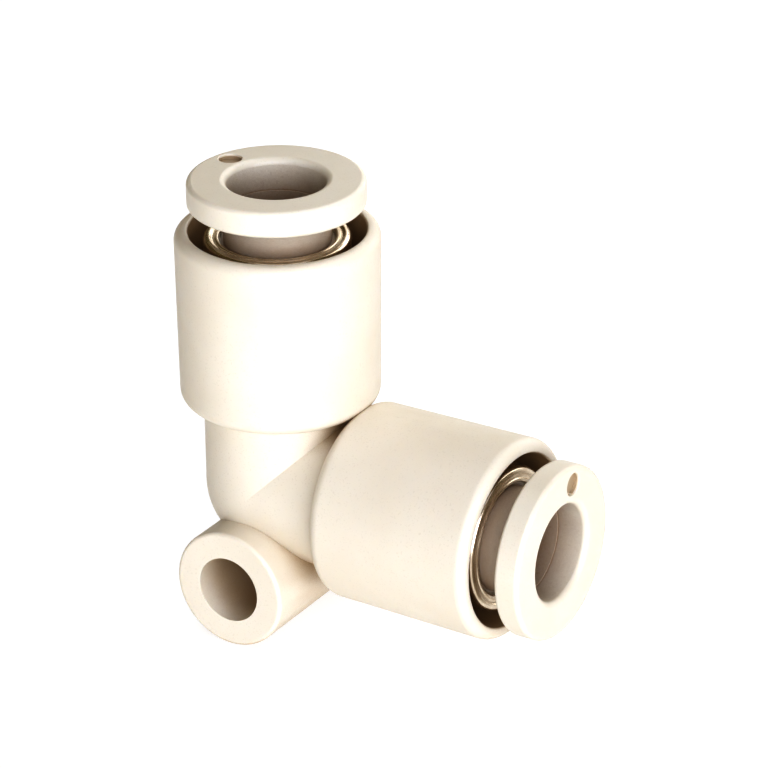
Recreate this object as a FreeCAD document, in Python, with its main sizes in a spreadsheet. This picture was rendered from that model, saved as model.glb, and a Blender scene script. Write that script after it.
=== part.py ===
import FreeCAD, Part
import math
import os

import Sketcher

# Push to connect elbow for two plastic tubes at right angles, in millimetres.
# Port A opens along +Z and port B along +X.  The origin is the centre of the mounting hole,
# which runs along Y through the boss under port A, on the plane that holds both port axes.
#
# One cartridge sits in each port.  It is drawn once, along its own +Z, counted from the point
# where the two port axes cross, and then placed on port A or turned onto port B.

doc = FreeCAD.newDocument("push_to_connect_elbow")

# ---------------------------------------------------------------- driving dimensions

SIZES = [
    ("tube_diameter", 6.0, "outside diameter of the tube that each port takes"),
    # moulded body
    ("port_height", 5.25, "mounting hole axis up to the port axes"),
    ("casing_draft", 0.25, "how much a casing narrows from its mouth to its back, on diameter"),
    ("casing_back", 5.7, "crossing of the port axes to the back of a casing"),
    ("neck_diameter", 9.66, "pipe that joins the two casings"),
    ("neck_root_round", 0.3, "rounding where a neck meets its casing"),
    ("mouth_round", 0.64, "outer edge of a casing's mouth"),
    ("back_round", 0.84, "outer edge of a casing's back"),
    ("recess_gap", 0.93, "open ring between the guide and the casing's mouth"),
    ("mouth_wall", 0.87, "casing's wall around that open ring"),
    ("recess_depth", 3.6, "depth of the open ring"),
    ("recess_round", 0.15, "inner edge of a casing's mouth"),
    ("flow_diameter", 4.2, "air passage through the elbow"),
    ("boss_diameter", 7.75, "mounting boss"),
    ("boss_round", 0.25, "edges of the mounting boss"),
    ("mounting_hole", 4.3, "hole through the boss, for an M4 screw"),
    # where the tube ends and the seal sits
    ("tube_stop", 3.4, "crossing of the port axes to the shoulder that stops the tube"),
    ("tube_seat_length", 3.0, "length of the snug seat for the tube's end"),
    ("tube_seat_clearance", 0.06, "radial play of the tube in its seat"),
    ("seal_length", 2.5, "length of the lip seal"),
    ("seal_room", 0.4, "free length above the seal"),
    ("seal_wall", 0.8, "thickness of the seal's heel, on radius"),
    ("seal_bite", 0.1, "how far the seal's lip reaches inside the tube's surface"),
    ("seal_lip", 0.3, "thickness of each seal lip"),
    ("seal_lip_lift", 0.05, "inner lip's outer corner above the seal's floor"),
    ("seal_channel_depth", 1.3, "depth of the channel between the two lips"),
    # steel guide
    ("guide_wall", 0.25, "sheet of the steel guide"),
    ("guide_inset", 0.4, "top of the guide below the casing's mouth"),
    ("guide_rim", 0.35, "thickness of the guide's top rim"),
    ("guide_rim_round", 0.3, "outer edge of the top rim"),
    ("guide_rim_dish", 0.14, "depth of the shallow dish in the top rim"),
    ("guide_rim_ridge", 0.22, "width of the raised ridge on each side of the dish"),
    ("guide_cone_length", 1.6, "length of the cone that closes the collet on the tube"),
    # collet and chuck
    ("collet_length", 3.9, "length of the collet"),
    ("collet_wall", 0.8, "wall of the collet"),
    ("collet_skirt", 0.6, "length of the collet's skirt below the chuck"),
    ("collet_slits", 4, "number of slits in the collet"),
    ("collet_slit_width", 0.5, "width of a slit in the collet"),
    ("collet_slit_floor", 0.7, "uncut height of the collet above the chuck"),
    ("release_travel", 0.5, "how far a pressed button carries collet and chuck in"),
    ("chuck_sheet", 0.2, "sheet of the toothed chuck"),
    ("chuck_inset", 0.25, "chuck's rim inside the collet's outer surface, on radius"),
    ("chuck_flange", 0.3, "flat width of the chuck's rim"),
    ("chuck_bite", 0.1, "how far the teeth reach inside the tube's surface"),
    ("chuck_teeth", 8, "number of teeth"),
    ("chuck_gap", 0.6, "width of the gap between two teeth"),
    # release button
    ("button_bore_clearance", 0.04, "radial play of the tube in the button's sleeve"),
    ("button_entry_clearance", 0.09, "radial play of the tube in the button's entry"),
    ("button_entry_depth", 2.1, "depth of that wider entry"),
    ("button_sleeve_wall", 0.3, "wall of the button's sleeve"),
    ("flange_overlap", 0.01, "how far the button's flange reaches over the casing's wall"),
    ("button_thickness", 1.7, "thickness of that flange"),
    ("button_round", 0.3, "outer edges of the flange"),
    ("button_bore_round", 0.4, "edge of the tube's entry"),
    ("button_root_round", 0.15, "rounding between sleeve and flange"),
    ("button_gap", 1.6, "flange above the casing's mouth when released"),
    ("button_stop_clearance", 0.2, "gap that is left when the button is pressed"),
    ("button_slits", 4, "number of slits that let the sleeve snap in"),
    ("button_slit_width", 0.5, "width of a slit in the sleeve"),
    ("bead_height", 0.36, "how far the snap bead stands out of the sleeve"),
    ("bead_length", 0.35, "straight length of the snap bead"),
    ("bead_lead", 0.35, "length of the bead's lead-in slope"),
    ("bead_gap", 0.05, "bead below the guide's rim when released"),
    ("gate_recess", 1.44, "diameter of the moulding gate's recess in the button's face"),
    ("gate_recess_depth", 0.35, "depth of that recess"),
    ("gate_recess_angle", 164.0, "where it sits around the port, in degrees"),
    ("gate_recess_round", 0.08, "its edge"),
    # running clearances
    ("sleeve_clearance", 0.11, "button's sleeve inside the collet, on radius"),
    ("collet_clearance", 0.1, "collet inside the guide, on radius"),
    ("rim_clearance", 0.26, "button's sleeve inside the guide's rim, on radius"),
    ("bead_clearance", 0.25, "bead inside the guide's narrow part, on radius"),
    ("stack_clearance", 0.2, "pressed bead above the collet"),
    ("foot_clearance", 0.05, "collet above the guide's foot when the button is pressed"),
    ("tooth_clearance", 0.06, "end of the sleeve above the teeth when the button is pressed"),
    ("snap_clearance", 0.02, "chuck's rim in the collet's groove"),
]

OVERSHOOT = 1.0  # how far a cut runs past the material it removes, in mm
NEAR = 1e-4  # two lengths or volumes closer than this count as the same

sizes = doc.addObject("Spreadsheet::Sheet", "Sizes")
for row, (alias, number, note) in enumerate(SIZES, start=1):
    sizes.set(f"A{row}", alias)
    sizes.set(f"B{row}", str(number))
    sizes.set(f"C{row}", note)
    sizes.setAlias(f"B{row}", alias)
doc.recompute()

# ---------------------------------------------------------------- levels and radii worked out from them

LAYOUT = [
    # radii of the cartridge, from the tube outwards
    ("tube_radius", "Sizes.tube_diameter / 2"),
    ("seat_radius", "Layout.tube_radius + Sizes.tube_seat_clearance"),
    ("bore_radius", "Layout.tube_radius + Sizes.button_bore_clearance"),
    ("entry_radius", "Layout.tube_radius + Sizes.button_entry_clearance"),
    ("sleeve_radius", "Layout.bore_radius + Sizes.button_sleeve_wall"),
    ("bead_radius", "Layout.sleeve_radius + Sizes.bead_height"),
    ("rim_bore", "Layout.sleeve_radius + Sizes.rim_clearance"),
    ("collet_bore", "Layout.sleeve_radius + Sizes.sleeve_clearance"),
    ("collet_radius", "Layout.collet_bore + Sizes.collet_wall"),
    ("guide_bore", "Layout.collet_radius + Sizes.collet_clearance"),
    ("guide_radius", "Layout.guide_bore + Sizes.guide_wall"),
    ("guide_throat", "Layout.bead_radius + Sizes.bead_clearance"),
    # radii of the casing around it
    ("recess_radius", "Layout.guide_radius + Sizes.recess_gap"),
    ("flange_radius", "Layout.recess_radius + Sizes.flange_overlap"),
    ("mouth_radius", "Layout.recess_radius + Sizes.mouth_wall"),
    ("back_radius", "Layout.mouth_radius - Sizes.casing_draft / 2"),
    ("neck_radius", "Sizes.neck_diameter / 2"),
    ("flow_radius", "Sizes.flow_diameter / 2"),
    # levels along the port, from the crossing of the port axes outwards
    ("seal_floor", "Sizes.tube_stop + Sizes.tube_seat_length"),
    ("seal_top", "Layout.seal_floor + Sizes.seal_length"),
    ("guide_floor", "Layout.seal_top + Sizes.seal_room"),
    ("guide_foot", "Layout.guide_floor + Sizes.guide_wall"),
    ("collet_floor", "Layout.guide_foot + Sizes.foot_clearance + Sizes.release_travel"),
    ("collet_top", "Layout.collet_floor + Sizes.collet_length"),
    ("cone_floor", "Layout.collet_top - Sizes.guide_cone_length"),
    ("stroke", "Sizes.button_gap - Sizes.button_stop_clearance"),
    ("bead_bottom", "Layout.collet_top + Sizes.stack_clearance + Layout.stroke"),
    ("bead_top", "Layout.bead_bottom + Sizes.bead_lead + Sizes.bead_length"),
    ("rim_underside", "Layout.bead_top + Sizes.bead_gap"),
    ("guide_top", "Layout.rim_underside + Sizes.guide_rim"),
    ("mouth", "Layout.guide_top + Sizes.guide_inset"),
    ("recess_floor", "Layout.mouth - Sizes.recess_depth"),
    ("button_underside", "Layout.mouth + Sizes.button_gap"),
    ("button_face", "Layout.button_underside + Sizes.button_thickness"),
    # middle of the flat part of the button's face
    ("face_inside", "Layout.entry_radius + Sizes.button_bore_round"),
    ("face_outside", "Layout.flange_radius - Sizes.button_round"),
    ("gate_radius", "(Layout.face_inside + Layout.face_outside) / 2"),
    # chuck
    ("chuck_floor", "Layout.collet_floor + Sizes.collet_skirt"),
    ("chuck_top", "Layout.chuck_floor + Sizes.chuck_sheet"),
    ("chuck_radius", "Layout.collet_radius - Sizes.chuck_inset"),
    ("chuck_bend", "Layout.chuck_radius - Sizes.chuck_flange"),
    ("tooth_radius", "Layout.tube_radius - Sizes.chuck_bite"),
    ("tooth_touch", "Layout.chuck_top - (Layout.chuck_bend - Layout.sleeve_radius)"),
    # The pressed sleeve first closes its gap to the teeth, then carries the collet in.
    ("sleeve_end", "Layout.tooth_touch + Layout.stroke - Sizes.release_travel + Sizes.tooth_clearance"),
]

layout = doc.addObject("App::VarSet", "Layout")
for name, formula in LAYOUT:
    layout.addProperty("App::PropertyFloat", name, "Layout")
    layout.setExpression(name, formula)
doc.recompute()


def value(formula):
    """The number that a formula of sizes and levels comes to."""
    result = layout.evalExpression(formula)
    return float(getattr(result, "Value", result))


# ---------------------------------------------------------------- drawing helpers


def new_body(name):
    """An empty body whose label names its node."""
    body = doc.addObject("PartDesign::Body", name)
    body.Label = name
    return body


def new_sketch(body, name, plane):
    """A sketch on one of the body's own origin planes."""
    sketch = body.newObject("Sketcher::SketchObject", name)
    planes = [item for item in body.Origin.OriginFeatures if item.Role == plane]
    sketch.AttachmentSupport = [(planes[0], "")]
    sketch.MapMode = "FlatFace"
    return sketch


def bind(sketch, kind, *where):
    """Add a dimension to a sketch and tie it to a formula, the last argument."""
    *elements, formula = where
    index = sketch.addConstraint(Sketcher.Constraint(kind, *elements, value(formula)))
    sketch.setExpression(f"Constraints[{index}]", formula)


def draw_outline(sketch, corners):
    """Closed outline through corners (across, up) or (across, up, rounding), all formulas.

    A rounded corner keeps its sharp corner as a construction point on both of its lines.
    """
    count = len(corners)
    sharp = [FreeCAD.Vector(value(c[0]), value(c[1]), 0) for c in corners]
    starts, ends, arcs = [], [], {}
    for i, corner in enumerate(corners):
        here = sharp[i]
        to_last = (sharp[i - 1] - here).normalize()
        to_next = (sharp[(i + 1) % count] - here).normalize()
        if len(corner) == 2:
            starts.append(here)
            ends.append(here)
            continue
        radius = value(corner[2])
        half_angle = to_last.getAngle(to_next) / 2
        setback = radius / math.tan(half_angle)
        centre = here + (to_last + to_next).normalize() * (radius / math.sin(half_angle))
        arrive = here + to_last * setback
        leave = here + to_next * setback
        ends.append(arrive)
        starts.append(leave)
        turns_left = to_last.cross(to_next).z < 0
        first, last = (arrive, leave) if turns_left else (leave, arrive)
        angles = [math.atan2(p.y - centre.y, p.x - centre.x) for p in (first, last)]
        circle = Part.Circle(centre, FreeCAD.Vector(0, 0, 1), radius)
        arcs[i] = (Part.ArcOfCircle(circle, angles[0], angles[1]), 1 if turns_left else 2)

    for i in range(count):
        start, end = starts[i], ends[(i + 1) % count]
        side = sharp[(i + 1) % count] - sharp[i]
        if (end - start).dot(side) <= 0:
            raise ValueError(f"{sketch.Name}: the roundings don't fit the side after corner {i}")
        sketch.addGeometry(Part.LineSegment(start, end), False)
    for i, corner in enumerate(corners):
        before, after = (i - 1) % count, i
        if i not in arcs:
            sketch.addConstraint(Sketcher.Constraint("Coincident", before, 2, after, 1))
            bind(sketch, "DistanceX", -1, 1, after, 1, corner[0])
            bind(sketch, "DistanceY", -1, 1, after, 1, corner[1])
            continue
        shape, arrival = arcs[i]
        arc = sketch.addGeometry(shape, False)
        sketch.addConstraint(Sketcher.Constraint("Tangent", before, 2, arc, arrival))
        sketch.addConstraint(Sketcher.Constraint("Tangent", arc, 3 - arrival, after, 1))
        point = sketch.addGeometry(Part.Point(sharp[i]), True)
        sketch.addConstraint(Sketcher.Constraint("PointOnObject", point, 1, before))
        sketch.addConstraint(Sketcher.Constraint("PointOnObject", point, 1, after))
        bind(sketch, "DistanceX", -1, 1, point, 1, corner[0])
        bind(sketch, "DistanceY", -1, 1, point, 1, corner[1])
        bind(sketch, "Radius", arc, corner[2])


def turned(body, name, corners, kind="PartDesign::Revolution", along="z"):
    """Turn an outline of (radius, level) corners about the body's Z or X axis."""
    sketch = new_sketch(body, f"{name}_sketch", "XZ_Plane")
    if along == "x":
        corners = [(c[1], c[0], *c[2:]) for c in corners]
    draw_outline(sketch, corners)
    before = body.Shape.Volume if body.Tip else 0.0
    feature = body.newObject(kind, name)
    feature.Profile = sketch
    feature.ReferenceAxis = (sketch, ["V_Axis" if along == "z" else "H_Axis"])
    feature.Angle = 360
    sketch.Visibility = False
    doc.recompute()
    check_change(body, name, before, kind)


def check_change(body, name, before, kind):
    """An additive feature has to add material and a subtractive one has to take some away."""
    change = body.Shape.Volume - before
    adds = kind in ("PartDesign::Revolution", "PartDesign::Pad")
    if (adds and change < NEAR) or (not adds and change > -NEAR):
        raise RuntimeError(f"{body.Name}.{name} changed the volume by {change:.5f} mm3")


def cut_slits(body, name, width, low, high, inner, outer, count):
    """Cut evenly spaced slits of formulas width, low to high level, inner to outer radius."""
    sketch = new_sketch(body, f"{name}_sketch", "XZ_Plane")
    draw_outline(sketch, [(inner, low), (outer, low), (outer, high), (inner, high)])
    before = body.Shape.Volume
    slit = body.newObject("PartDesign::Pocket", name)
    slit.Profile = sketch
    slit.Midplane = True
    slit.setExpression("Length", width)
    sketch.Visibility = False
    doc.recompute()
    check_change(body, name, before, "PartDesign::Pocket")
    single = before - body.Shape.Volume
    pattern = body.newObject("PartDesign::PolarPattern", f"{name}_pattern")
    pattern.Originals = [slit]
    pattern.Axis = (sketch, ["V_Axis"])
    pattern.Angle = 360
    pattern.setExpression("Occurrences", count)
    body.Tip = pattern
    doc.recompute()
    cut = before - body.Shape.Volume
    if abs(cut / single - value(count)) > 0.01:
        raise RuntimeError(f"{body.Name}.{name} cut {cut / single:.2f} slits")


def round_edges(body, name, radius, chosen):
    """Round the edges of the body for which chosen(edge) is true."""
    edges = [f"Edge{i}" for i, edge in enumerate(body.Shape.Edges, start=1) if chosen(edge)]
    if not edges:
        raise RuntimeError(f"{body.Name}.{name} found no edge")
    base = body.Tip
    fillet = body.newObject("PartDesign::Fillet", name)
    fillet.Base = (base, edges)
    fillet.setExpression("Radius", radius)
    doc.recompute()


def is_ring(edge, radius, level, axis):
    """True for a circle of that radius whose centre is at that level along x, y or z."""
    if edge.Curve.TypeId != "Part::GeomCircle":
        return False
    centre = getattr(edge.Curve.Center, axis)
    return abs(edge.Curve.Radius - radius) < NEAR and abs(centre - level) < NEAR


def place_on_port(body, port):
    """Put a cartridge piece on port A, or turn it onto port B."""
    if port == "b":
        turn = FreeCAD.Rotation(FreeCAD.Vector(0, 1, 0), 90)
        body.Placement = FreeCAD.Placement(FreeCAD.Vector(), turn)
    body.setExpression("Placement.Base.z", "Sizes.port_height")


# ---------------------------------------------------------------- moulded body


def make_elbow_body():
    """Two casings on two necks that meet at a ball corner, with the boss across it."""
    body = new_body("elbow_body")
    ball = body.newObject("PartDesign::AdditiveSphere", "corner_ball")
    ball.setExpression("Radius", "Layout.neck_radius")
    doc.recompute()
    outside = [
        ("0", "0"),
        ("Layout.neck_radius", "0"),
        ("Layout.neck_radius", "Sizes.casing_back", "Sizes.neck_root_round"),
        ("Layout.back_radius", "Sizes.casing_back", "Sizes.back_round"),
        ("Layout.mouth_radius", "Layout.mouth", "Sizes.mouth_round"),
        ("Layout.recess_radius", "Layout.mouth", "Sizes.recess_round"),
        ("Layout.recess_radius", "Layout.recess_floor"),
        ("0", "Layout.recess_floor"),
    ]
    turned(body, "port_a_outside", outside, along="z")
    turned(body, "port_b_outside", outside, along="x")

    boss_sketch = new_sketch(body, "boss_sketch", "XZ_Plane")
    hole_sketch = new_sketch(body, "mounting_hole_sketch", "XZ_Plane")
    for sketch, diameter in ((boss_sketch, "Sizes.boss_diameter"), (hole_sketch, "Sizes.mounting_hole")):
        centre = FreeCAD.Vector(0, value("-Sizes.port_height"), 0)
        circle = Part.Circle(centre, FreeCAD.Vector(0, 0, 1), value(diameter) / 2)
        sketch.addGeometry(circle, False)
        sketch.addConstraint(Sketcher.Constraint("PointOnObject", 0, 3, -2))
        bind(sketch, "DistanceY", 0, 3, -1, 1, "Sizes.port_height")
        bind(sketch, "Diameter", 0, diameter)
    before = body.Shape.Volume
    boss = body.newObject("PartDesign::Pad", "boss")
    boss.Profile = boss_sketch
    boss.Midplane = True
    # The boss is flush with the sides of the casings, so that both rest on a flat panel.
    boss.setExpression("Length", "2 * Layout.mouth_radius")
    boss_sketch.Visibility = False
    doc.recompute()
    check_change(body, "boss", before, "PartDesign::Pad")

    boss_radius = value("Sizes.boss_diameter / 2")
    face = value("Layout.mouth_radius")
    round_edges(
        body,
        "boss_edges",
        "Sizes.boss_round",
        lambda edge: is_ring(edge, boss_radius, face, "y") or is_ring(edge, boss_radius, -face, "y"),
    )

    bores = [
        ("0", "-Layout.flow_radius"),
        ("Layout.flow_radius", "-Layout.flow_radius"),
        ("Layout.flow_radius", "Sizes.tube_stop"),
        ("Layout.seat_radius", "Sizes.tube_stop"),
        ("Layout.seat_radius", "Layout.seal_floor"),
        ("Layout.guide_bore", "Layout.seal_floor"),
        ("Layout.guide_bore", "Layout.guide_floor"),
        ("Layout.guide_radius", "Layout.guide_floor"),
        ("Layout.guide_radius", f"Layout.mouth + {OVERSHOOT}"),
        ("0", f"Layout.mouth + {OVERSHOOT}"),
    ]
    turned(body, "port_a_bores", bores, "PartDesign::Groove", along="z")
    bores[0] = ("0", "0")
    bores[1] = ("Layout.flow_radius", "0")
    turned(body, "port_b_bores", bores, "PartDesign::Groove", along="x")

    before = body.Shape.Volume
    hole = body.newObject("PartDesign::Pocket", "mounting_hole")
    hole.Profile = hole_sketch
    hole.Midplane = True
    hole.Type = "ThroughAll"
    hole_sketch.Visibility = False
    doc.recompute()
    check_change(body, "mounting_hole", before, "PartDesign::Pocket")
    body.setExpression("Placement.Base.z", "Sizes.port_height")
    return body


# ---------------------------------------------------------------- cartridge, one in each port


def make_seal(port):
    """Rubber ring of Y section: a heel, an outer lip in the body and an inner lip on the tube."""
    body = new_body(f"tube_seal_{port}")
    heel_bore = "Layout.guide_bore - Sizes.seal_wall - Sizes.seal_lip"
    channel_floor = "Layout.seal_floor + Sizes.seal_channel_depth"
    tip = "Layout.tube_radius - Sizes.seal_bite"
    corners = [
        ("Layout.guide_bore", "Layout.seal_floor", "Sizes.seal_lip / 4"),
        ("Layout.guide_bore", "Layout.seal_top", "Sizes.seal_lip / 4"),
        (heel_bore, "Layout.seal_top", "Sizes.seal_lip / 4"),
        (heel_bore, channel_floor),
        (tip, "Layout.seal_floor + Sizes.seal_lip", "Sizes.seal_lip / 4"),
        (f"{tip} + Sizes.seal_lip", "Layout.seal_floor + Sizes.seal_lip_lift", "Sizes.seal_lip / 5"),
        ("Layout.guide_bore - Sizes.seal_wall", channel_floor, "Sizes.seal_lip / 5"),
        ("Layout.guide_bore - Sizes.seal_lip", channel_floor, "Sizes.seal_lip / 5"),
        ("Layout.guide_bore - Sizes.seal_lip", "Layout.seal_floor"),
    ]
    turned(body, "ring", corners)
    place_on_port(body, port)


def make_guide(port):
    """Steel sleeve pressed into the body, with a turned-in foot, a closing cone and a dished rim."""
    body = new_body(f"guide_{port}")
    foot_bore = "Layout.chuck_bend"
    outer_ridge = "Layout.guide_radius - Sizes.guide_rim_round - Sizes.guide_rim_ridge / 2"
    inner_ridge = "Layout.rim_bore + Sizes.guide_rim_ridge"
    dish = "Layout.guide_top - Sizes.guide_rim_dish"
    corners = [
        ("Layout.guide_radius", "Layout.guide_floor"),
        ("Layout.guide_radius", "Layout.guide_top", "Sizes.guide_rim_round"),
        (outer_ridge, "Layout.guide_top", "Sizes.guide_rim_dish / 2"),
        (f"{outer_ridge} - Sizes.guide_rim_dish", dish, "Sizes.guide_rim_dish / 2"),
        (f"{inner_ridge} + Sizes.guide_rim_dish / 2", dish, "Sizes.guide_rim_dish / 2"),
        (inner_ridge, "Layout.guide_top - Sizes.guide_rim_dish / 2", "Sizes.guide_rim_dish / 4"),
        ("Layout.rim_bore", "Layout.guide_top - Sizes.guide_rim_dish / 2", "Sizes.guide_rim_dish"),
        ("Layout.rim_bore", "Layout.rim_underside"),
        ("Layout.guide_throat", "Layout.rim_underside"),
        ("Layout.guide_throat", "Layout.collet_top"),
        ("Layout.guide_bore", "Layout.cone_floor"),
        ("Layout.guide_bore", "Layout.guide_foot"),
        (foot_bore, "Layout.guide_foot"),
        (foot_bore, "Layout.guide_floor"),
    ]
    turned(body, "sleeve", corners)
    place_on_port(body, port)


def make_collet(port):
    """Slit plastic ring around the button's sleeve, with a groove that carries the chuck."""
    body = new_body(f"collet_{port}")
    groove = "Layout.chuck_radius + Sizes.snap_clearance"
    skirt_bore = "Layout.chuck_bend + Sizes.chuck_flange / 2"
    top_radius = "Layout.guide_throat - Sizes.collet_clearance"
    corners = [
        (skirt_bore, "Layout.collet_floor"),
        ("Layout.collet_radius", "Layout.collet_floor"),
        ("Layout.collet_radius", "Layout.cone_floor"),
        (top_radius, "Layout.collet_top"),
        ("Layout.collet_bore", "Layout.collet_top"),
        ("Layout.collet_bore", "Layout.chuck_top"),
        (groove, "Layout.chuck_top"),
        (groove, "Layout.chuck_floor"),
        (skirt_bore, "Layout.chuck_floor"),
    ]
    turned(body, "ring", corners)
    cut_slits(
        body,
        "slits",
        "Sizes.collet_slit_width",
        "Layout.chuck_top + Sizes.collet_slit_floor",
        f"Layout.collet_top + {OVERSHOOT}",
        f"Layout.collet_bore - {OVERSHOOT}",
        f"Layout.collet_radius + {OVERSHOOT}",
        "Sizes.collet_slits",
    )
    place_on_port(body, port)


def make_chuck(port):
    """Spring-steel ring with a flat rim and teeth bent inwards at 45 degrees to bite the tube."""
    body = new_body(f"chuck_{port}")
    reach = "(Layout.chuck_bend - Layout.tooth_radius)"
    sheet_across = "Sizes.chuck_sheet * sqrt(2)"
    corners = [
        ("Layout.chuck_radius", "Layout.chuck_floor"),
        ("Layout.chuck_radius", "Layout.chuck_top"),
        ("Layout.chuck_bend", "Layout.chuck_top"),
        ("Layout.tooth_radius", f"Layout.chuck_top - {reach}"),
        (
            f"Layout.tooth_radius + {sheet_across} / 2",
            f"Layout.chuck_top - {reach} - {sheet_across} / 2",
        ),
        (f"Layout.chuck_bend + {sheet_across} - Sizes.chuck_sheet", "Layout.chuck_floor"),
    ]
    turned(body, "cone", corners)
    cut_slits(
        body,
        "gaps",
        "Sizes.chuck_gap",
        f"Layout.chuck_floor - {reach} - {OVERSHOOT}",
        f"Layout.chuck_top + {OVERSHOOT}",
        f"Layout.tooth_radius - {OVERSHOOT}",
        "Layout.chuck_bend",
        "Sizes.chuck_teeth",
    )
    place_on_port(body, port)


def make_button(port):
    """Flange to press, on a thin sleeve that snaps under the guide's rim and opens the chuck."""
    body = new_body(f"release_button_{port}")
    corners = [
        ("Layout.bore_radius", "Layout.sleeve_end"),
        ("Layout.sleeve_radius", "Layout.sleeve_end", "Sizes.button_sleeve_wall / 3"),
        ("Layout.sleeve_radius", "Layout.bead_bottom"),
        ("Layout.bead_radius", "Layout.bead_bottom + Sizes.bead_lead"),
        ("Layout.bead_radius", "Layout.bead_top"),
        ("Layout.sleeve_radius", "Layout.bead_top"),
        ("Layout.sleeve_radius", "Layout.button_underside", "Sizes.button_root_round"),
        ("Layout.flange_radius", "Layout.button_underside", "Sizes.button_round"),
        ("Layout.flange_radius", "Layout.button_face", "Sizes.button_round"),
        ("Layout.entry_radius", "Layout.button_face", "Sizes.button_bore_round"),
        ("Layout.entry_radius", "Layout.button_face - Sizes.button_entry_depth"),
        ("Layout.bore_radius", "Layout.button_face - Sizes.button_entry_depth"),
    ]
    turned(body, "sleeve_and_flange", corners)
    cut_slits(
        body,
        "snap_slits",
        "Sizes.button_slit_width",
        f"Layout.sleeve_end - {OVERSHOOT}",
        "Layout.bead_top + Sizes.bead_gap",
        f"Layout.bore_radius - {OVERSHOOT}",
        f"Layout.bead_radius + {OVERSHOOT}",
        "Sizes.button_slits",
    )

    sketch = new_sketch(body, "gate_recess_sketch", "XY_Plane")
    sketch.setExpression("AttachmentOffset.Base.z", "Layout.button_face")
    across = "Layout.gate_radius * cos(Sizes.gate_recess_angle * 1 deg)"
    along = "Layout.gate_radius * sin(Sizes.gate_recess_angle * 1 deg)"
    centre = FreeCAD.Vector(value(across), value(along), 0)
    circle = Part.Circle(centre, FreeCAD.Vector(0, 0, 1), value("Sizes.gate_recess / 2"))
    sketch.addGeometry(circle, False)
    bind(sketch, "DistanceX", -1, 1, 0, 3, across)
    bind(sketch, "DistanceY", -1, 1, 0, 3, along)
    bind(sketch, "Diameter", 0, "Sizes.gate_recess")
    before = body.Shape.Volume
    recess = body.newObject("PartDesign::Pocket", "gate_recess")
    recess.Profile = sketch
    recess.setExpression("Length", "Sizes.gate_recess_depth")
    sketch.Visibility = False
    doc.recompute()
    check_change(body, "gate_recess", before, "PartDesign::Pocket")
    rim = value("Sizes.gate_recess / 2")
    face = value("Layout.button_face")
    round_edges(
        body,
        "gate_recess_edge",
        "Sizes.gate_recess_round",
        lambda edge: is_ring(edge, rim, face, "z"),
    )
    place_on_port(body, port)


make_elbow_body()
for port in ("a", "b"):
    make_seal(port)
    make_guide(port)
    make_collet(port)
    make_chuck(port)
    make_button(port)
doc.recompute()

# ---------------------------------------------------------------- checks and export

for item in doc.Objects:
    if "Invalid" in item.State or "Error" in item.State:
        raise RuntimeError(f"{item.Name} failed: {item.State}")

bodies = [item for item in doc.Objects if item.TypeId == "PartDesign::Body"]
for body in bodies:
    if body.Shape.isNull() or not body.Shape.isValid() or len(body.Shape.Solids) != 1:
        raise RuntimeError(f"{body.Label} is not one valid solid")

os.makedirs("parts", exist_ok=True)
for body in bodies:
    body.Shape.exportStep(f"parts/{body.Label}.step")
    box = body.Shape.BoundBox
    print(
        f"{body.Label}: {body.Shape.Volume:.2f} mm3, "
        f"x {box.XMin:.2f} {box.XMax:.2f}, y {box.YMin:.2f} {box.YMax:.2f}, z {box.ZMin:.2f} {box.ZMax:.2f}"
    )
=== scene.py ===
import math

import bpy
from mathutils import Matrix, Vector


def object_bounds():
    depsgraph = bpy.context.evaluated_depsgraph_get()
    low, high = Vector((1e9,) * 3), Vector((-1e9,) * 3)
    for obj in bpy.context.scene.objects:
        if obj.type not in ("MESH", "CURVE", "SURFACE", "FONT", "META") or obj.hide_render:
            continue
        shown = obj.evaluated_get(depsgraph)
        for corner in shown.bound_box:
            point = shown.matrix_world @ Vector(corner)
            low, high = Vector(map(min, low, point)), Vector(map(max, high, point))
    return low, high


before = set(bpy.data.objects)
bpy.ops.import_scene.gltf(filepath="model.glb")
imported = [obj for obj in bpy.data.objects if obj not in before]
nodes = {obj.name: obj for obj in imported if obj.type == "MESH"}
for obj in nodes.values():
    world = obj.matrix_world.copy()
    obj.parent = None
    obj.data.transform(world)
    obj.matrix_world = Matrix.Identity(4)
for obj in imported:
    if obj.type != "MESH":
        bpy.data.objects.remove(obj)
cad_low, cad_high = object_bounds()

scene = bpy.context.scene
MM = 0.001

# ---------------------------------------------------------------- view

AZIMUTH, ELEVATION, ROLL = 32.244, 25.695, -0.567  # degrees
CAMERA_AT = Vector((126.064, -187.723, 120.360)) * MM
LENS, SENSOR = 187.67, 36.0


def camera_axes():
    """Right, up and back of the camera."""
    a, e, r = (math.radians(x) for x in (AZIMUTH, ELEVATION, ROLL))
    back = Vector((math.sin(a) * math.cos(e), -math.cos(a) * math.cos(e), math.sin(e)))
    right = Vector((math.cos(a), math.sin(a), 0))
    up = back.cross(right)
    return (
        right * math.cos(r) + up * math.sin(r),
        up * math.cos(r) - right * math.sin(r),
        back,
    )


def add_camera():
    data = bpy.data.cameras.new("camera")
    data.lens = LENS
    data.sensor_width = SENSOR
    data.clip_start, data.clip_end = 0.01, 10
    camera = bpy.data.objects.new("camera", data)
    right, up, back = camera_axes()
    turn = Matrix((right, up, back)).transposed().to_4x4()
    camera.matrix_world = Matrix.Translation(CAMERA_AT) @ turn
    scene.collection.objects.link(camera)
    scene.camera = camera


# ---------------------------------------------------------------- light and floor

FLOOR_LEVEL = -3.875 * MM  # the boss's lowest line
FLOOR_REACH = 3.0
FLOOR_COLOUR, FLOOR_GLOW = 0.2, 0.86
LIGHT_DISTANCE, LIGHT_SIZE = 0.6, 0.7
CONTRAST_GAMMA = 0.6  # under 1 for deep, brown shadows


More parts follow.
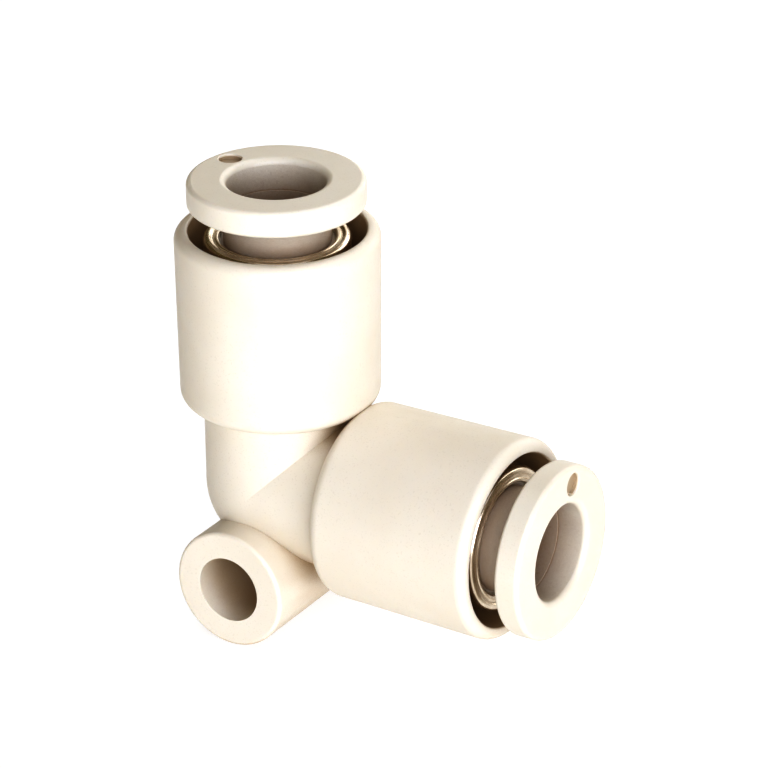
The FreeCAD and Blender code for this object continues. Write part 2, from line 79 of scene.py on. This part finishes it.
def add_area(name, azimuth, elevation, power, colour):
    """A soft square light that faces the part, on the side that a view from those angles has."""
    data = bpy.data.lights.new(name, "AREA")
    data.shape = "SQUARE"
    data.size = LIGHT_SIZE
    data.energy = power
    data.color = colour
    light = bpy.data.objects.new(name, data)
    a, e = math.radians(azimuth), math.radians(elevation)
    towards = Vector((math.sin(a) * math.cos(e), -math.cos(a) * math.cos(e), math.sin(e)))
    light.location = (cad_low + cad_high) / 2 + towards * LIGHT_DISTANCE
    light.rotation_mode = "QUATERNION"
    light.rotation_quaternion = (-towards).to_track_quat("-Z", "Y")
    scene.collection.objects.link(light)


def add_world(colour, strength):
    world = bpy.data.worlds.new("studio")
    world.use_nodes = True
    shader = world.node_tree.nodes["Background"]
    shader.inputs["Color"].default_value = (*colour, 1)
    shader.inputs["Strength"].default_value = strength
    scene.world = world


def add_floor():
    """A plain floor that glows, so that it stays white under the part."""
    mesh = bpy.data.meshes.new("floor")
    corners = [(-1, -1), (1, -1), (1, 1), (-1, 1)]
    points = [(x * FLOOR_REACH, y * FLOOR_REACH, FLOOR_LEVEL) for x, y in corners]
    mesh.from_pydata(points, [], [(0, 1, 2, 3)])
    floor = bpy.data.objects.new("floor", mesh)
    scene.collection.objects.link(floor)
    material = bpy.data.materials.new("white_floor")
    material.use_nodes = True
    shader = material.node_tree.nodes["Principled BSDF"]
    shader.inputs["Base Color"].default_value = (*[FLOOR_COLOUR] * 3, 1)
    shader.inputs["Roughness"].default_value = 0.9
    shader.inputs["Emission Color"].default_value = (1, 1, 1, 1)
    shader.inputs["Emission Strength"].default_value = FLOOR_GLOW
    mesh.materials.append(material)


add_camera()
add_world((1.0, 0.80, 0.40), 0.17)
add_floor()
add_area("key", 45, 4, 9.6, (0.78, 0.85, 1.0))
add_area("back", 180, 30, 3.1, (0.94, 0.97, 1.0))
add_area("top", 45, 80, 1.5, (0.82, 0.86, 1.0))
scene.view_settings.view_transform = "Standard"
scene.view_settings.gamma = CONTRAST_GAMMA

# ---------------------------------------------------------------- material building blocks


class Surface:
    """A procedural material: one Principled shader and the textures that feed it.

    Its textures are fixed to the piece, in metres, so they move with it.
    """

    def __init__(self, name):
        self.material = bpy.data.materials.new(name)
        self.material.use_nodes = True
        self.tree = self.material.node_tree
        self.shader = self.tree.nodes["Principled BSDF"]
        self.place = self.node("ShaderNodeTexCoord").outputs["Object"]
        self.normal = None

    def node(self, kind, **settings):
        made = self.tree.nodes.new(kind)
        for setting, value in settings.items():
            setattr(made, setting, value)
        return made

    def link(self, source, target):
        self.tree.links.new(source, target)

    def set(self, **values):
        """Fixed values of the shader's inputs, with _ for a space in their names."""
        for name, value in values.items():
            self.shader.inputs[name.replace("_", " ")].default_value = value

    def noise(self, grain, detail=2.0, place=None):
        """Noise whose features are about grain metres wide."""
        texture = self.node("ShaderNodeTexNoise")
        texture.inputs["Scale"].default_value = 1 / grain
        texture.inputs["Detail"].default_value = detail
        self.link(place or self.place, texture.inputs["Vector"])
        return texture.outputs["Fac"]

    def spread(self, factor, low, high, middle=0.5, width=0.3):
        """Turn noise around its middle into a value from low to high."""
        span = self.node("ShaderNodeMapRange")
        span.inputs["From Min"].default_value = middle - width / 2
        span.inputs["From Max"].default_value = middle + width / 2
        span.inputs["To Min"].default_value = low
        span.inputs["To Max"].default_value = high
        self.link(factor, span.inputs["Value"])
        return span.outputs["Result"]

    def mix(self, factor, first, second):
        """A colour between two, each a colour or another mix."""
        mixer = self.node("ShaderNodeMix", data_type="RGBA")
        self.link(factor, mixer.inputs["Factor"])
        for value, socket in ((first, mixer.inputs["A"]), (second, mixer.inputs["B"])):
            if isinstance(value, tuple):
                socket.default_value = (*value, 1)
            else:
                self.link(value, socket)
        return mixer.outputs["Result"]

    def colour(self, result):
        self.link(result, self.shader.inputs["Base Color"])

    def openness(self, reach):
        """1 on open surfaces, down to 0 deep in gaps and bores narrower than reach."""
        occlusion = self.node("ShaderNodeAmbientOcclusion", samples=8)
        occlusion.inputs["Distance"].default_value = reach
        return occlusion.outputs["AO"]

    def roughness(self, result):
        self.link(result, self.shader.inputs["Roughness"])

    def bump(self, height, depth, strength=1.0):
        """Raise the surface by up to depth metres; a later bump adds to an earlier one."""
        bump = self.node("ShaderNodeBump")
        bump.inputs["Strength"].default_value = strength
        bump.inputs["Distance"].default_value = depth
        self.link(height, bump.inputs["Height"])
        if self.normal:
            self.link(self.normal, bump.inputs["Normal"])
        self.normal = bump.outputs["Normal"]
        self.link(self.normal, self.shader.inputs["Normal"])

    def round_place(self, axis, centre):
        """Distance from a line along axis through centre, and place along that line."""
        shift = self.node("ShaderNodeVectorMath", operation="SUBTRACT")
        shift.inputs[1].default_value = centre
        self.link(self.place, shift.inputs[0])
        along = self.node("ShaderNodeVectorMath", operation="DOT_PRODUCT")
        along.inputs[1].default_value = axis
        self.link(shift.outputs["Vector"], along.inputs[0])
        across = self.node("ShaderNodeVectorMath", operation="CROSS_PRODUCT")
        across.inputs[1].default_value = axis
        self.link(shift.outputs["Vector"], across.inputs[0])
        radius = self.node("ShaderNodeVectorMath", operation="LENGTH")
        self.link(across.outputs["Vector"], radius.inputs[0])
        return radius.outputs["Value"], along.outputs["Value"]

    def rings(self, axis, centre):
        """A place for noise that makes rings, like those that drawing leaves on a round piece."""
        radius, along = self.round_place(axis, centre)
        joined = self.node("ShaderNodeCombineXYZ")
        self.link(radius, joined.inputs["X"])
        self.link(along, joined.inputs["Z"])
        return joined.outputs["Vector"]

    def join(self, operation, first, second):
        """MAXIMUM or MINIMUM of two values."""
        joined = self.node("ShaderNodeMath", operation=operation)
        self.link(first, joined.inputs[0])
        self.link(second, joined.inputs[1])
        return joined.outputs["Value"]

    def within(self, value, low, high):
        """1 where a value is between low and high, and 0 elsewhere."""
        test = self.node("ShaderNodeMath", operation="COMPARE")
        self.link(value, test.inputs[0])
        test.inputs[1].default_value = (low + high) / 2
        test.inputs[2].default_value = (high - low) / 2
        return test.outputs["Value"]


# ---------------------------------------------------------------- materials

PORT_AXES = {"a": (0, 0, 1), "b": (1, 0, 0)}
PORT_CROSSING = (0, 0, 5.25 * MM)

PAINTED_GAP_SHADE = (0.46, 0.32, 0.17)  # painted shade: the body's colour deep in gaps and holes, where shade falls
PAINTED_BORE_SHADE = (0.24, 0.11, 0.025)  # painted shade: the button's colour down its bore, where shade falls
GATE_SCAR_AND_SHADE = (0.52, 0.41, 0.28)  # the scar of the moulding gate, darkened further with painted shade in its recess
SHADE_REACH = 8 * MM  # how far across a gap or hole may be to count as closed in
SHADE_WIDTH = 0.34  # of openness, over which the painted shade fades in
BODY_SHADE, BORE_SHADE = 0.24, 0.34  # openness in the middle of that change
SLEEVE_RADIUS = 3.4 * MM  # the bore is inside this
BODY_GRAIN, FINE_GRAIN = (0.09 * MM, 0.004 * MM), (0.07 * MM, 0.003 * MM)  # width and depth
GATE_RING = (3.74 * MM, 5.1 * MM)  # the gate's recess lies between these radii
GATE_FLOOR = (19.95 * MM, 20.25 * MM)  # and its floor between these places along the port


def make_plastic(name, light, shade, roughness, grain, port=None):
    """Moulded plastic: faint clouds of colour, specks, a fine spark-eroded grain and uneven gloss.

    It is deeper in colour in gaps and holes, which is painted shade. A button, which has a port, has
    this painted shade in its bore alone, and has a darker gate scar, partly painted shade in its recess.
    """
    s = Surface(name)
    clouds = s.noise(6 * MM, 3)
    specks = s.noise(0.12 * MM, 1)
    base = s.mix(s.spread(clouds, 0, 1), light, shade)
    dusty = tuple(0.97 * c for c in shade)
    base = s.mix(s.spread(specks, 0, 1, 0.66, 0.1), base, dusty)
    middle = BORE_SHADE if port else BODY_SHADE
    # painted shade: ambient occlusion deepens the colour in gaps and holes
    free_of_painted_shade = s.spread(s.openness(SHADE_REACH), 0, 1, middle, SHADE_WIDTH)
    if port:
        radius, along = s.round_place(PORT_AXES[port], PORT_CROSSING)
        # the gate recess floor: the scar's own darker tone, with painted shade of the recess
        scar = s.join("MINIMUM", s.within(radius, *GATE_RING), s.within(along, *GATE_FLOOR))
        base = s.mix(scar, base, GATE_SCAR_AND_SHADE)
        # painted shade down the bore: only inside the sleeve radius, where the surface is closed in
        outside = s.spread(radius, 0, 1, SLEEVE_RADIUS, 0.3 * MM)
        s.colour(s.mix(s.join("MAXIMUM", free_of_painted_shade, outside), PAINTED_BORE_SHADE, base))
    else:
        # the body gets painted shade in its gaps and holes
        s.colour(s.mix(free_of_painted_shade, PAINTED_GAP_SHADE, base))
    s.roughness(s.spread(s.noise(1.5 * MM, 4), roughness - 0.05, roughness + 0.05))
    grain_width, grain_depth = grain
    s.bump(s.noise(grain_width, 3), grain_depth, 0.35)
    s.bump(s.noise(3 * MM, 1), 0.012 * MM, 0.25)
    s.set(
        Subsurface_Weight=0.12,
        Subsurface_Radius=(1.0, 0.7, 0.4),
        Subsurface_Scale=0.4 * MM,
        IOR=1.53,
    )
    return s.material


def make_steel(name, port, light, shade, roughness):
    """Bright sheet steel with fine rings around the port's axis, and a few soft stains."""
    s = Surface(name)
    fine = s.noise(0.05 * MM, 2, s.rings(PORT_AXES[port], PORT_CROSSING))
    stains = s.noise(1.2 * MM, 3)
    s.colour(s.mix(s.spread(stains, 0, 1), light, shade))
    s.roughness(s.spread(fine, roughness - 0.06, roughness + 0.08))
    s.bump(fine, 0.004 * MM, 0.4)
    s.set(Metallic=1.0)
    return s.material


def make_rubber(name):
    """Black moulded rubber, matt, with a trace of grease that makes it glossier in places."""
    s = Surface(name)
    greased = s.spread(s.noise(0.8 * MM, 3), 0, 1)
    s.colour(s.mix(greased, (0.018, 0.017, 0.016), (0.035, 0.033, 0.03)))
    s.roughness(s.spread(s.noise(1.0 * MM, 2), 0.38, 0.62))
    s.bump(s.noise(0.06 * MM, 2), 0.004 * MM, 0.4)
    return s.material


def dress(node, material):
    """Give a CAD piece its material."""
    piece = nodes[node]
    piece.data.materials.clear()
    piece.data.materials.append(material)


body_plastic = make_plastic("body_plastic", (0.815, 0.745, 0.63), (0.79, 0.715, 0.595), 0.42, BODY_GRAIN)
collet_plastic = make_plastic("collet_plastic", (0.82, 0.79, 0.73), (0.79, 0.76, 0.69), 0.34, FINE_GRAIN)
seal_rubber = make_rubber("seal_rubber")

dress("elbow_body", body_plastic)
for port in "ab":
    dress(f"collet_{port}", collet_plastic)
    dress(f"tube_seal_{port}", seal_rubber)
    button_colours = (0.82, 0.755, 0.64), (0.80, 0.73, 0.61)
    button_plastic = make_plastic(f"button_plastic_{port}", *button_colours, 0.36, FINE_GRAIN, port)
    dress(f"release_button_{port}", button_plastic)
    bright_steel = (0.88, 0.79, 0.66), (0.70, 0.60, 0.47)
    dress(f"guide_{port}", make_steel(f"guide_steel_{port}", port, *bright_steel, 0.26))
    spring_steel = (0.50, 0.46, 0.40), (0.42, 0.38, 0.33)
    dress(f"chuck_{port}", make_steel(f"chuck_steel_{port}", port, *spring_steel, 0.30))
